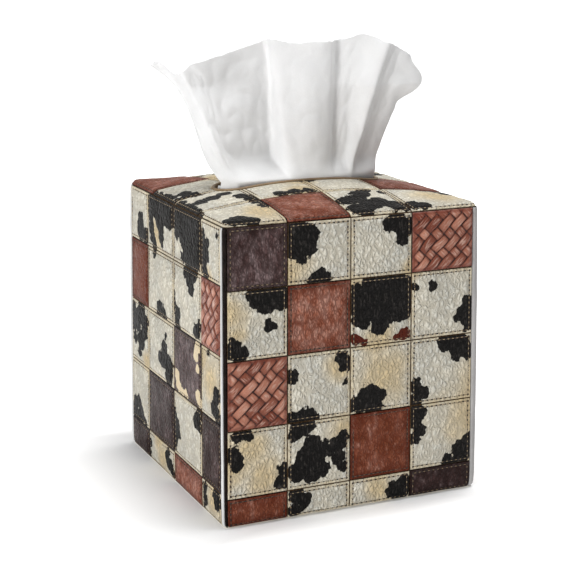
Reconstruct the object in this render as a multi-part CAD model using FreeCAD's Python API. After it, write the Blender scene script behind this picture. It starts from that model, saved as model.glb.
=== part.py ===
"""Patchwork leather cover for a cube carton of tissues, with the carton and its raised tissue.

The cover is a five-sided box with a padded, crowned top. Its wall has four layers: a skin of sewn
leather patches, a foam pad, a grey board and a lining. It slips down over the carton, and the raised
tissue comes up through a bound slot in the top.

Millimetres. +Z is up and the front faces -Y. The origin is the middle of the base, on the table.
"""

import FreeCAD
import Part
import math
import os

from FreeCAD import Vector

# Carton that the cover is made for
CARTON_WIDTH = 114.3
CARTON_DEPTH = 114.3
CARTON_HEIGHT = 133.35
CARTON_BOARD = 0.6
CARTON_CORNER = 0.8
CARTON_SLOT_LENGTH = 92.0
CARTON_SLOT_WIDTH = 28.0

# Room between the carton and the cover
SIDE_CLEARANCE = 0.85
HEADROOM = 1.15

# Layers of the cover's wall, from outside to inside
SKIN = 1.2
PAD = 2.6
BOARD = 1.5
LINING = 0.8

# Form of the cover: the fold round the top is as round as the upright corners, and the hem turns in
# a little tighter
TOP_CROWN = 6.9
EDGE_RADIUS = 4.0
HEM_SHARE = 0.8
HEM_BAND = 1.2

# Slot in the top, measured inside its binding
SLOT_LENGTH = 84.0
SLOT_WIDTH = 20.0
BINDING = 1.0
BINDING_LIP = 0.6

# Patchwork: widths of the columns, heights of the part rows at the hem and under the top seam,
# and how far each grid lies off centre
SEAM_GAP = 0.5
PATCH_WIDTH = 31.0
SIDE_PATCH_WIDTH = 36.0
TOP_PATCH_DEPTH = 31.0
HEM_ROW = 14.0
SIDE_HEM_ROW = 16.0
TOP_ROW = 28.4
SIDE_TOP_ROW = 26.4
TOP_SEAM_DROP = 2.2
FRONT_GRID_SHIFT = -2.5
SIDE_GRID_SHIFT = 1.2
TOP_GRID_SHIFT = -2.0

# Dark band down the front's left edge, and the plain tape that shows in each upright corner
EDGE_BAND = 2.8
TAPE = 2.6
FRONT_LEFT_TAPE = 1.0
FRONT_RIGHT_TAPE = 4.8

# Folded tissues in the carton
STACK_HEIGHT = 94.0
STACK_CLEARANCE = 1.0
STACK_BUNDLES = 8

# Raised tissue, from its hidden tail up to its spread edge
TISSUE_THICKNESS = 1.6
TAIL_GAP = 0.3
TAIL_WIDTH = 64.0
TAIL_FOLD = 1.2
NECK_WIDTH = 76.0
NECK_FOLD = 2.4
WAIST_RISE = 24.0
WAIST_WIDTH = 94.0
WAIST_FOLD = 5.0
SHOULDER_RISE = 44.0
SHOULDER_WIDTH = 117.0
SHOULDER_FOLD = 6.5
SPREAD_RISE = 72.0
SPREAD_WIDTH = 131.0
SPREAD_FOLD = 8.0
SPREAD_SHIFT = -4.0
SPREAD_TURN_DEGREES = -24.0

# Folds of the raised tissue, left to right: share of its width, and depth against the deepest fold
TISSUE_FOLDS = ((0.17, 0.8), (0.18, -0.6), (0.20, 1.0), (0.12, -0.7), (0.19, 0.9), (0.14, -0.8))
FOLD_SIDES = 3

# Upper edge of the raised tissue: places across it, each with its rise above the crown
EDGE_LEFT = (-70.0, 51.0)
EDGE_LEFT_BOW = (-42.0, 58.5)
EDGE_CREST = (-12.0, 65.5)
EDGE_CREST_BOW = (12.0, 67.0)
EDGE_SHOULDER = (38.0, 66.0)
EDGE_RIGHT_BOW = (55.0, 57.5)
EDGE_RIGHT = (62.0, 40.0)

# Leather of each patch, row by row from the top or, on the top panel, from the back,
# and left to right as someone facing the panel sees it
LEATHERS = {"H": "hide", "B": "brown", "D": "dark", "W": "woven"}
LAYOUTS = {
    "front": ("DHHW", "HBHH", "WHHH", "HHBH", "BHHD"),
    "left": ("HHHH", "BHHW", "HHDH", "HDHD", "DHBH"),
    "back": ("HBHH", "HHWH", "DHHB", "HWHH", "HHDH"),
    "right": ("HHBH", "WHHH", "HDHB", "HHHW", "BHDH"),
    "top": ("BHHH", "HHHH", "HHHB", "HBHH"),
}

# Worked out from the sizes above
WALL = SKIN + PAD + BOARD + LINING
COVER_WIDTH = CARTON_WIDTH + 2 * (SIDE_CLEARANCE + WALL)
COVER_DEPTH = CARTON_DEPTH + 2 * (SIDE_CLEARANCE + WALL)
CEILING = CARTON_HEIGHT + HEADROOM
SIDE_HEIGHT = CEILING + WALL
CROWN_HEIGHT = SIDE_HEIGHT + TOP_CROWN
HEM_RADIUS = HEM_SHARE * min(SKIN + PAD, EDGE_RADIUS)
TOP_SEAM = SIDE_HEIGHT - TOP_SEAM_DROP
BOARD_TOP = SIDE_HEIGHT - SKIN - PAD
FLAT_X = COVER_WIDTH / 2 - EDGE_RADIUS
FLAT_Y = COVER_DEPTH / 2 - EDGE_RADIUS
FAR = 2 * (COVER_WIDTH + COVER_DEPTH + CROWN_HEIGHT)
SLIGHT = 1e-6


def box(x0, x1, y0, y1, z0, z1):
    """Block between two corners."""
    return Part.makeBox(x1 - x0, y1 - y0, z1 - z0, Vector(x0, y0, z0))


def slab(z0, z1):
    """Everything between two heights."""
    return box(-FAR, FAR, -FAR, FAR, z0, z1)


def block(half_x, half_y, bottom, top):
    """Upright block centred on the Z axis."""
    return box(-half_x, half_x, -half_y, half_y, bottom, top)


def upright_edges(shape):
    """Edges of a shape that run straight up."""
    return [e for e in shape.Edges if abs(e.tangentAt(e.FirstParameter).z) > 1 - SLIGHT]


def level_edges(shape, z):
    """Edges of a shape that lie at one height."""
    return [e for e in shape.Edges if all(abs(v.Z - z) < SLIGHT for v in e.Vertexes)]


def slot_block(length, width, bottom, top):
    """Upright block with a straight-sided, round-ended outline, its length along X."""
    straight, r = (length - width) / 2, width / 2
    a, b = Vector(-straight, -r, bottom), Vector(straight, -r, bottom)
    c, d = Vector(straight, r, bottom), Vector(-straight, r, bottom)
    right = Part.Arc(b, Vector(length / 2, 0, bottom), c).toShape()
    left = Part.Arc(d, Vector(-length / 2, 0, bottom), a).toShape()
    front = Part.LineSegment(a, b).toShape()
    back = Part.LineSegment(c, d).toShape()
    outline = Part.Wire([front, right, back, left])
    return Part.Face(outline).extrude(Vector(0, 0, top - bottom))


def crown_block(base):
    """Crowned block under the flat of the top, whose crown starts at the height base.

    Its surface is one patch, TOP_CROWN * (1 - u * u) * (1 - v * v), so only the middle pole is raised.
    """
    surface = Part.BezierSurface()
    surface.increase(2, 2)
    for i, x in enumerate((-FLAT_X, 0, FLAT_X)):
        for j, y in enumerate((-FLAT_Y, 0, FLAT_Y)):
            rise = 4 * TOP_CROWN if x == 0 and y == 0 else 0
            surface.setPole(i + 1, j + 1, Vector(x, y, base + rise))
    return surface.toShape().extrude(Vector(0, 0, -base / 2))


def cover_form(inset):
    """Solid form of the cover, taken in by a layer's depth, with its round edges and crowned top."""
    top = SIDE_HEIGHT - inset
    form = block(COVER_WIDTH / 2 - inset, COVER_DEPTH / 2 - inset, 0, top)
    form = form.makeFillet(EDGE_RADIUS - inset, upright_edges(form) + level_edges(form, top))
    return form.fuse(crown_block(top))


def export(name, shape):
    """Write one node, after checking that each of its solids is sound."""
    solids = shape.Solids
    if not solids or not all(s.isValid() and s.Volume > 0 for s in solids):
        raise ValueError(f"{name} has an unsound solid")
    Part.makeCompound(solids).exportStep(f"parts/{name}.step")
    print(f"{name}: {len(solids)} solids, {sum(s.Volume for s in solids):.0f} mm3")


def ray(side_x, side_y, turn):
    """Far point from a corner's middle, in plan; no turn faces the front or back, a quarter turn a side."""
    start = Vector(side_x * FLAT_X, side_y * FLAT_Y, 0)
    return start + Vector(side_x * FAR * math.sin(turn), side_y * FAR * math.cos(turn), 0)


def upright_prism(points):
    """Tall block on a plan outline."""
    return Part.Face(Part.makePolygon(points + points[:1])).extrude(Vector(0, 0, FAR))


def tape_slice(side_x, side_y, width):
    """Slice of one round corner that its tape takes, next to the side wall and clear of the seams."""
    gap = SEAM_GAP / EDGE_RADIUS
    end = math.pi / 2 - gap
    start = end - width / EDGE_RADIUS
    middle = Vector(side_x * FLAT_X, side_y * FLAT_Y, 0)
    return upright_prism([middle] + [ray(side_x, side_y, t) for t in (start, (start + end) / 2, end)])


def face_wall(side_y, left_tape, right_tape):
    """Block that holds the front or back wall, with its turns round the corners up to their tapes."""
    gaps = 2 * SEAM_GAP
    points = []
    for side_x, width in ((-1, left_tape), (1, right_tape)):
        turn = math.pi / 2 - (width + gaps) / EDGE_RADIUS
        pair = [Vector(side_x * FLAT_X, side_y * FLAT_Y, 0), ray(side_x, side_y, turn)]
        points += pair if side_x < 0 else pair[::-1]
    return upright_prism(points)


def bands(seams, low, high):
    """Spaces between seams, each seam leaving half its gap on either side."""
    half = SEAM_GAP / 2
    starts = [low] + [s + half for s in seams]
    ends = [s - half for s in seams] + [high]
    return list(zip(starts, ends))


def seams(pitch, shift, count):
    """Evenly spaced seams about a shifted middle."""
    return [shift + pitch * (i - (count - 1) / 2) for i in range(count)]


def wall_cells(panel, low_u):
    """Cells of one wall's patchwork, top row first, left to right from outside, starting at low_u."""
    side = panel in ("left", "right")
    pitch, shift = (SIDE_PATCH_WIDTH, SIDE_GRID_SHIFT) if side else (PATCH_WIDTH, FRONT_GRID_SHIFT)
    hem_row, top_row = (SIDE_HEM_ROW, SIDE_TOP_ROW) if side else (HEM_ROW, TOP_ROW)
    row_count, column_count = len(LAYOUTS[panel]), len(LAYOUTS[panel][0])
    row_pitch = (TOP_SEAM - hem_row - top_row) / (row_count - 2)
    row_seams = [hem_row + row_pitch * i for i in range(row_count - 1)]
    rows = bands(row_seams, HEM_BAND, TOP_SEAM - SEAM_GAP / 2)
    columns = bands(seams(pitch, shift, column_count - 1), low_u, FAR)
    place = {
        "front": lambda u0, u1, z0, z1: box(u0, u1, -FAR, 0, z0, z1),
        "back": lambda u0, u1, z0, z1: box(-u1, -u0, 0, FAR, z0, z1),
        "left": lambda u0, u1, z0, z1: box(-FAR, 0, -u1, -u0, z0, z1),
        "right": lambda u0, u1, z0, z1: box(0, FAR, u0, u1, z0, z1),
    }[panel]
    return [[place(u0, u1, z0, z1) for u0, u1 in columns] for z0, z1 in reversed(rows)]


def top_cells():
    """Cells of the top's patchwork, back row first."""
    row_count, column_count = len(LAYOUTS["top"]), len(LAYOUTS["top"][0])
    rows = bands(seams(TOP_PATCH_DEPTH, TOP_GRID_SHIFT, row_count - 1), -FAR, FAR)
    columns = bands(seams(PATCH_WIDTH, FRONT_GRID_SHIFT, column_count - 1), -FAR, FAR)
    low = TOP_SEAM + SEAM_GAP / 2
    return [[box(x0, x1, y0, y1, low, FAR) for x0, x1 in columns] for y0, y1 in reversed(rows)]


def export_patches(panel, skin, cells):
    """Cut one panel's skin into its patches and write a node for each kind of leather."""
    sorted_patches = {name: [] for name in LEATHERS.values()}
    for row, letters in zip(cells, LAYOUTS[panel]):
        for cell, letter in zip(row, letters):
            sorted_patches[LEATHERS[letter]] += skin.common(cell).Solids
    for leather, solids in sorted_patches.items():
        if solids:
            export(f"{panel}_{leather}_patches", Part.makeCompound(solids))


def fold_section(width, depth, turn, shift, z):
    """Closed outline of the gathered tissue at one height: a band of alternating folds."""
    line = [(shift - width / 2, 0)]
    start = line[0][0]
    for share, bend in TISSUE_FOLDS:
        for i in range(1, FOLD_SIDES + 1):
            along = i / FOLD_SIDES
            line.append((start + along * share * width, -bend * depth * math.sin(math.pi * along)))
        start += share * width
    half = TISSUE_THICKNESS / 2
    front = [Vector(x, y - half, z) for x, y in line]
    back = [Vector(x, y + half, z) for x, y in reversed(line)]
    outline = Part.makePolygon(front + back + front[:1])
    outline.rotate(Vector(), Vector(0, 0, 1), turn)
    return outline


def above_edge():
    """Block over the raised tissue's curved upper edge, turned as the tissue is."""

    def at(place):
        return Vector(place[0], -FAR / 2, CROWN_HEIGHT + place[1])

    left = Part.Arc(at(EDGE_LEFT), at(EDGE_LEFT_BOW), at(EDGE_CREST)).toShape()
    crest = Part.Arc(at(EDGE_CREST), at(EDGE_CREST_BOW), at(EDGE_SHOULDER)).toShape()
    right = Part.Arc(at(EDGE_SHOULDER), at(EDGE_RIGHT_BOW), at(EDGE_RIGHT)).toShape()
    corners = [(FAR, EDGE_RIGHT[1]), (FAR, FAR), (-FAR, FAR), (-FAR, EDGE_LEFT[1])]
    rest = Part.makePolygon([at(EDGE_RIGHT)] + [at(c) for c in corners] + [at(EDGE_LEFT)])
    above = Part.Face(Part.Wire([left, crest, right] + rest.Edges)).extrude(Vector(0, FAR, 0))
    above.rotate(Vector(), Vector(0, 0, 1), SPREAD_TURN_DEGREES)
    return above


os.makedirs("parts", exist_ok=True)

# Solid forms of the layers
outer = cover_form(0)
outer = outer.makeFillet(HEM_RADIUS, level_edges(outer, 0))
padded = cover_form(SKIN).common(slab(HEM_BAND, FAR))
board_x, board_y = COVER_WIDTH / 2 - SKIN - PAD, COVER_DEPTH / 2 - SKIN - PAD
lining_x, lining_y = board_x - BOARD, board_y - BOARD
cavity_x, cavity_y = lining_x - LINING, lining_y - LINING
boarded = block(board_x, board_y, HEM_BAND, BOARD_TOP)
lined = block(lining_x, lining_y, HEM_BAND, CEILING + LINING)
cavity = block(cavity_x, cavity_y, -FAR, CEILING)
bound_length, bound_width = SLOT_LENGTH + 2 * BINDING, SLOT_WIDTH + 2 * BINDING
bound_slot = slot_block(bound_length, bound_width, 0, FAR)

# Skin of the walls: patches, a dark band down the front's left edge, and tape in the corners
skin = outer.cut(padded).common(slab(HEM_BAND, FAR))
wall_skin = skin.common(slab(HEM_BAND, TOP_SEAM - SEAM_GAP / 2))
band_x = EDGE_BAND - COVER_WIDTH / 2
front_skin = wall_skin.common(face_wall(-1, FRONT_LEFT_TAPE, FRONT_RIGHT_TAPE))
back_skin = wall_skin.common(face_wall(1, TAPE, TAPE))
left_skin = wall_skin.common(box(-FAR, 0, -FLAT_Y, FLAT_Y, 0, FAR))
right_skin = wall_skin.common(box(0, FAR, -FLAT_Y, FLAT_Y, 0, FAR))
export_patches("front", front_skin, wall_cells("front", band_x + SEAM_GAP / 2))
export_patches("back", back_skin, wall_cells("back", -FAR))
export_patches("left", left_skin, wall_cells("left", -FAR))
export_patches("right", right_skin, wall_cells("right", -FAR))
export("front_edge_band", front_skin.common(box(-FAR, band_x - SEAM_GAP / 2, -FAR, 0, 0, FAR)))
export("front_left_tape", wall_skin.common(tape_slice(-1, -1, FRONT_LEFT_TAPE)))
export("front_right_tape", wall_skin.common(tape_slice(1, -1, FRONT_RIGHT_TAPE)))
export("back_left_tape", wall_skin.common(tape_slice(-1, 1, TAPE)))
export("back_right_tape", wall_skin.common(tape_slice(1, 1, TAPE)))

# Skin of the top, with its slot
export_patches("top", skin.cut(bound_slot), top_cells())

# Foam pads behind the skin
padding = padded.cut(boarded)
wall_padding = padding.common(slab(0, BOARD_TOP))
export("top_pad", padding.common(slab(BOARD_TOP, FAR)).cut(bound_slot))
export("front_pad", wall_padding.common(box(-FAR, FAR, -FAR, -board_y, 0, FAR)))
export("back_pad", wall_padding.common(box(-FAR, FAR, board_y, FAR, 0, FAR)))
export("left_pad", wall_padding.common(box(-FAR, -board_x, -board_y, board_y, 0, FAR)))
export("right_pad", wall_padding.common(box(board_x, FAR, -board_y, board_y, 0, FAR)))

# Grey boards
boards = boarded.cut(lined)
wall_boards = boards.common(slab(0, CEILING + LINING))
export("top_board", boards.common(slab(CEILING + LINING, FAR)).cut(bound_slot))
export("front_board", wall_boards.common(box(-FAR, FAR, -FAR, -lining_y, 0, FAR)))
export("back_board", wall_boards.common(box(-FAR, FAR, lining_y, FAR, 0, FAR)))
export("left_board", wall_boards.common(box(-FAR, -lining_x, -lining_y, lining_y, 0, FAR)))
export("right_board", wall_boards.common(box(lining_x, FAR, -lining_y, lining_y, 0, FAR)))

# Lining
export("top_lining", block(lining_x, lining_y, CEILING, CEILING + LINING).cut(bound_slot))
export("front_lining", box(-lining_x, lining_x, -lining_y, -cavity_y, HEM_BAND, CEILING))
export("back_lining", box(-lining_x, lining_x, cavity_y, lining_y, HEM_BAND, CEILING))
export("left_lining", box(-lining_x, -cavity_x, -cavity_y, cavity_y, HEM_BAND, CEILING))
export("right_lining", box(cavity_x, lining_x, -cavity_y, cavity_y, HEM_BAND, CEILING))

# Band under the hem, and the binding that lines the slot and stands a little proud of the top
export("hem_band", outer.common(slab(0, HEM_BAND)).cut(cavity))
binding = slot_block(bound_length, bound_width, CEILING, FAR).cut(slot_block(SLOT_LENGTH, SLOT_WIDTH, 0, FAR))
export("slot_binding", binding.common(crown_block(SIDE_HEIGHT + BINDING_LIP)))

# Carton and the folded tissues in it
inside_x, inside_y = CARTON_WIDTH / 2 - CARTON_BOARD, CARTON_DEPTH / 2 - CARTON_BOARD
carton = block(CARTON_WIDTH / 2, CARTON_DEPTH / 2, 0, CARTON_HEIGHT)
carton = carton.makeFillet(CARTON_CORNER, upright_edges(carton))
carton = carton.cut(block(inside_x, inside_y, CARTON_BOARD, CARTON_HEIGHT - CARTON_BOARD))
export("carton_shell", carton.cut(slot_block(CARTON_SLOT_LENGTH, CARTON_SLOT_WIDTH, CARTON_HEIGHT / 2, FAR)))

bundle = STACK_HEIGHT / STACK_BUNDLES
stack_x, stack_y = inside_x - STACK_CLEARANCE, inside_y - STACK_CLEARANCE
stack = []
for i in range(STACK_BUNDLES):
    side = 1 if i % 2 else -1
    z0 = CARTON_BOARD + i * bundle
    z1 = z0 + bundle
    open_y, fold_y = -side * stack_y, side * (stack_y - bundle / 2)
    start, end = Vector(-stack_x, fold_y, z0), Vector(-stack_x, fold_y, z1)
    nose = Part.Arc(start, Vector(-stack_x, side * stack_y, (z0 + z1) / 2), end).toShape()
    rest = Part.makePolygon([end, Vector(-stack_x, open_y, z1), Vector(-stack_x, open_y, z0), start])
    stack.append(Part.Face(Part.Wire([nose] + rest.Edges)).extrude(Vector(2 * stack_x, 0, 0)))
export("tissue_stack", Part.makeCompound(stack))

# Raised tissue: a gathered tail and neck, opening into a turned, spread fan with a curved edge
tail = CARTON_BOARD + STACK_HEIGHT + TAIL_GAP
levels = (
    (TAIL_WIDTH, TAIL_FOLD, tail),
    (NECK_WIDTH, NECK_FOLD, CROWN_HEIGHT),
    (WAIST_WIDTH, WAIST_FOLD, CROWN_HEIGHT + WAIST_RISE),
    (SHOULDER_WIDTH, SHOULDER_FOLD, CROWN_HEIGHT + SHOULDER_RISE),
    (SPREAD_WIDTH, SPREAD_FOLD, CROWN_HEIGHT + SPREAD_RISE),
)
sections = []
for width, depth, z in levels:
    rise = max(0, z - CROWN_HEIGHT)
    turn = SPREAD_TURN_DEGREES * min(1, rise / SHOULDER_RISE)
    sections.append(fold_section(width, depth, turn, SPREAD_SHIFT * rise / SPREAD_RISE, z))
export("raised_tissue", Part.makeLoft(sections, True, True).cut(above_edge()))
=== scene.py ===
import functools
import math
import random

import bpy
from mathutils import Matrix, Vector, noise


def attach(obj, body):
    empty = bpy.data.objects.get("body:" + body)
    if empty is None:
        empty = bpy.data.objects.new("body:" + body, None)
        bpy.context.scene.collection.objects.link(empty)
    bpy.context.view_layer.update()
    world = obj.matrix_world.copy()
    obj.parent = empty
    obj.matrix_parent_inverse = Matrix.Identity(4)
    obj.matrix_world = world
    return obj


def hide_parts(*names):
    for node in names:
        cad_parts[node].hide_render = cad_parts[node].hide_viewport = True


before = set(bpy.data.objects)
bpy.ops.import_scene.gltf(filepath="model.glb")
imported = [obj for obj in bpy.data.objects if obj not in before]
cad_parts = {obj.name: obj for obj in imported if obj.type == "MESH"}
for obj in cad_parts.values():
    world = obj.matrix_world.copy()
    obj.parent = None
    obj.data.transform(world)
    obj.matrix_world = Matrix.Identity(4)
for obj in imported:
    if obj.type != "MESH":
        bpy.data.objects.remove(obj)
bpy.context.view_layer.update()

# Sizes of the cover in millimetres, as in the part's source
MM = 0.001
HALF = 64.1
EDGE = 4.0
FLAT = HALF - EDGE
SIDE = 140.6
CROWN = 6.9
HEM = 3.04
HEM_BAND = 1.2
TOP_SEAM = 138.4
SEAM_GAP = 0.5
SKIN = 1.2
PAD = 2.6
WALL = 6.1
CEILING = 134.5
SLOT_LENGTH, SLOT_WIDTH = 84.0, 20.0
BINDING = 1.0
BOUND_LENGTH, BOUND_WIDTH = SLOT_LENGTH + 2 * BINDING, SLOT_WIDTH + 2 * BINDING
UP = Vector((0, 0, 1))

# Seams: up the walls, along the walls, and both ways over the top
FRONT_ROWS = (14.0, 46.0, 78.0, 110.0)
SIDE_ROWS = (16.0, 48.0, 80.0, 112.0)
FRONT_COLUMNS = (-33.5, -2.5, 28.5)
SIDE_COLUMNS = (-34.8, 1.2, 37.2)
TOP_ROWS = (-33.0, -2.0, 29.0)

# Ends of each wall's patchwork, measured round the corners, and of the top's, over the fold
WALL_ENDS = {"front": (-62.2, 60.58), "back": (-62.78, 62.78), "left": (-FLAT, FLAT), "right": (-FLAT, FLAT)}
TOP_END = 64.23

# Stuffing of the walls: how far they stand out at the top and, more, at the foot, what share of that the
# hem draws in and how far up, how square the corners are, where 2 is a plain arc, and how low the leather
# reaches
SWELL_TOP, SWELL_FOOT = 0.2, 1.9
HEM_PULL, HEM_PULL_REACH = 0.35, 2.5
CORNER = 3.0
FOOT = 0.3

# Direction to the right, as seen from outside, and direction outwards
PANELS = {
    "front": ((1, 0, 0), (0, -1, 0)),
    "back": ((-1, 0, 0), (0, 1, 0)),
    "left": ((0, -1, 0), (-1, 0, 0)),
    "right": ((0, 1, 0), (1, 0, 0)),
}

# Leather of each patch: rows from the top or, on the top panel, from the back
LEATHERS = {"H": "hide", "B": "brown", "D": "dark", "W": "woven"}
LAYOUTS = {
    "front": ("DHHW", "HBHH", "WHHH", "HHBH", "BHHD"),
    "left": ("HHHH", "BHHW", "HHDH", "HDHD", "DHBH"),
    "back": ("HBHH", "HHWH", "DHHB", "HWHH", "HHDH"),
    "right": ("HHBH", "WHHH", "HDHB", "HHHW", "BHDH"),
    "top": ("BHHH", "HHHH", "HHHB", "HBHH"),
}

# Black spots of the hides: along the panel, up it, and radius
SPOTS = {
    "front": [
        (-29, 133, 7), (-25, 128, 6), (-22, 133, 4), (-30, 126, 4.5), (-27, 122, 3),
        (-18, 112.5, 4), (-15, 112, 3), (-21, 112, 3), (-17, 115, 2.6),
        (17, 134, 4), (22, 134, 5), (26, 132, 4.5), (23, 127, 3.4),
        (-46, 106, 6), (-40, 105.5, 5.5), (-36, 104.5, 5), (-50, 108, 3.5), (-45, 101, 2.5),
        (-42, 93, 3), (-40.4, 92.6, 2.2), (-59, 83, 4.5), (-56, 81, 3.8), (-60, 87, 2.5),
        (5, 99, 9), (14, 98, 11), (22, 98, 9), (12, 87, 5), (3, 91, 5), (24, 93, 5), (21, 106, 6),
        (8, 105, 6), (1, 104, 4), (26, 104, 5), (14, 108, 4),
        (57, 88, 5), (58, 93, 4), (59, 83, 4.5), (53, 86, 2.6), (39, 103, 2.4), (30, 103, 2),
        (-32, 68, 3.5), (-7, 74, 3.4), (-5, 71, 3.8), (-5, 62.5, 1.6),
        (-30, 47, 5), (-25, 48, 5), (-21, 47, 3),
        (2, 51, 5), (7, 54, 5.5), (13, 53, 3), (9, 49, 5), (4, 57, 2.5),
        (46, 75, 4.5), (54, 73, 6), (57, 70, 5), (50, 76, 4), (52, 67, 2.6),
        (31, 56, 3.5), (34, 52, 4), (31, 48, 4), (32, 43, 4.5), (30, 38, 3.8), (33, 33, 3.5), (31, 30, 3),
        (-57, 44, 3.5), (-53, 44, 3.2), (-60, 35, 4), (-58, 31, 3.8), (-36, 19, 4), (-35, 25, 3.6),
        (-28, 44.6, 4.5), (-24, 44, 4), (-30, 41, 3.5), (-21.5, 34.5, 4.8), (-25.5, 28, 4.8),
        (-16.5, 31.5, 4.8), (-20, 27, 5), (-8.5, 32.5, 4.2), (-6, 37, 3), (-9, 26.5, 4), (-7, 22, 3),
        (-28.5, 22, 4.8), (-22.5, 20.5, 4.5), (-17, 22, 4), (-12.5, 30, 3),
        (54, 22, 4), (59, 25, 4), (56, 17, 5), (48, 16, 3.5),
        (-29, 11, 4), (-25, 8, 3.5), (-30, 4, 3.5), (20, 6, 4.5), (25, 7, 5), (23, 2, 4),
    ],
    "left": [
        (-44, 123, 4.5), (-45, 117, 5), (-39, 115.5, 4), (-36, 118, 3), (-28, 122, 4), (-26, 117, 4),
        (-25, 112, 3), (-24.6, 110, 2.6), (-30, 135, 5.5), (-22, 134, 7), (-13, 133, 8), (-4, 135, 7),
        (-30, 129, 4.5), (-16, 127, 5), (-4, 129, 4), (-14, 121, 4), (-13, 117, 2.5), (-9, 138, 5),
        (-20, 138, 5), (0.6, 133, 6), (6, 136, 6), (14, 134, 8), (24, 134, 9), (33, 136, 6),
        (19, 126, 8), (28, 126, 8), (8, 127, 4.5), (34, 128, 5), (24, 117, 7), (15, 116, 3.5),
        (30, 117, 6), (2, 133, 5), (35, 121, 4), (24, 108, 5.5), (26, 104, 3.5), (19, 110, 4),
        (29, 110, 4), (25, 111, 5), (40, 130, 4), (44, 124, 5), (41, 118, 5), (46, 129, 3), (39, 124, 4),
        (43, 114, 3.5), (57, 134, 1.6), (-17, 84, 4.5), (-12, 82.5, 4), (-20, 82, 2.5), (3, 91, 3.5),
        (7.5, 87, 4.5), (7, 82, 4), (4, 96, 2), (32, 84.5, 4), (35, 88, 2.5),
        (-57, 74, 5), (-45, 75, 6), (-57, 68, 5), (-40, 71, 5), (-50, 70, 6), (-45, 61, 5.5), (-54, 60, 3),
        (-47, 54, 3), (-41, 65, 4), (-10.5, 66, 4), (-12, 60, 5.5), (-5, 59, 5), (-5, 52, 4.5),
        (-17, 60, 3), (-9, 72, 2), (46, 78, 1.8), (56, 61, 4), (54, 55, 4.5), (57, 50.5, 4),
        (-54, 25, 4.5), (-57, 19, 5), (-46, 21, 5), (-52, 18, 4), (-40, 18.5, 3), (-49, 28, 3),
        (3, 36, 3.5), (6, 31.5, 4.5), (4, 26, 4.5), (2.5, 21, 3), (8, 28, 3.5), (34.5, 45, 4),
        (31, 41.5, 3.5), (35, 39.5, 3.2), (-33.5, 5, 2.5), (-32, 10, 2), (-7.5, 12, 3.5), (-4.5, 8, 4),
        (-1, 4, 3), (41, 12.5, 3), (42, 7.5, 3.5), (55, 14, 4), (57, 10, 4), (40, 4, 2),
    ],
    "top": [
        (-56, 6, 3.6), (-55, -0.6, 5), (-52, -3, 3.6), (-57, -17.5, 4), (-50.5, -16.8, 4.2),
        (-44, -14.5, 3.6), (-64.5, 26, 3.5), (-64.5, 20, 4), (-64.5, 13, 4), (-64, 6, 4.5),
        (-64, -1, 4.5), (-64, -8, 4.5), (-64, -15, 4.5), (-64, -22, 4.5), (-64, -29, 4),
        (-64.5, -35, 3.5), (-38.5, -24, 4.5), (-36, -30, 4), (-36, -36, 4), (-36, -43, 3.5),
        (-22, -30, 3.5), (-14, -30, 4), (-7, -30, 3.5), (-4, -12, 3), (1, -14, 2.5), (2, -49, 5),
        (8, -48.6, 6), (12, -55.6, 6), (3, -59, 5), (17.7, -36, 4), (13, -42, 5), (18, -54, 6),
        (23, -58, 6), (6, -62, 4), (26, -60, 4.5), (25, -40, 2.6), (32, -59, 4), (36, -61, 3.4),
        (-59, -60.5, 4), (-54, -59, 5), (-49.5, -61.5, 3.6), (49, -35, 3), (55, -37, 4), (58, -43, 3.4),
        (-31, 48, 3), (-25, 40, 2.5), (10, 22, 6), (16, 18, 4), (46, 12, 6), (52, 18, 5), (-14, 45, 4),
        (12, 52, 7), (20, 48, 5), (48, 50, 6),
    ],
}
RUST_SPOTS = {"front": [(0, 81, 2.6), (4, 80, 2), (25, 82, 3), (21, 80.5, 2)]}

# Cream places left bare on one dark patch, and tones of the plain patches by panel, row and column
BARE_SPOTS = {
    "left": [
        (32.5, 77, 3.2), (31, 73, 3), (33.5, 67, 2), (6.5, 57, 3.4), (9, 52, 3.4), (18, 51, 2.4),
        (33, 55, 2.6), (35, 51.5, 2.6), (13, 50.5, 2),
    ],
}
MIDDLE_TONE = 0.5
TONES = {
    ("front", 1, 1): 0.85, ("front", 3, 2): 0.25, ("front", 4, 0): 0.35, ("front", 0, 0): 0.68,
    ("front", 4, 3): 0.35, ("left", 1, 0): -0.4, ("left", 4, 2): 0.85, ("left", 2, 2): 0.6,
    ("left", 3, 1): 0.2, ("left", 3, 3): 0.2, ("left", 4, 0): 0.1, ("top", 3, 1): 0.6,
    ("top", 0, 0): 0.35, ("top", 2, 3): 0.3,
}

# Tan stains of the hides: along the panel, up it, and reach
STAINS = {
    "front": [
        (-33, 116, 17), (-62, 100, 14), (-58, 90, 9), (12, 81, 14), (0, 106, 7), (14, 62, 22),
        (-60, 30, 18), (-45, 22, 16), (-6, 40, 12), (58, 20, 12), (28, 112, 9), (70, 38, 42),
        (12, 8, 12), (-52, 38, 16), (-8, 70, 12),
    ],
    "left": [
        (-20, 122, 14), (30, 116, 10), (45, 112, 10), (50, 66, 18), (40, 74, 12), (-38, 52, 8),
        (-20, 16, 12), (52, 10, 14), (-14, 8, 14),
    ],
    "top": [
        (50, -50, 20), (46, -20, 18), (-10, -28, 14), (-40, -52, 18), (-5, -14, 14), (30, 40, 20),
        (-30, 30, 16),
    ],
}


# Spots of the walls out of the photo's sight: groups, spots in a group, reach, and their share of it
HIDDEN_GROUPS, HIDDEN_IN_GROUP = 26, 4
HIDDEN_REACH, HIDDEN_SHARE = (3, 7), (0.5, 0.9)


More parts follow.
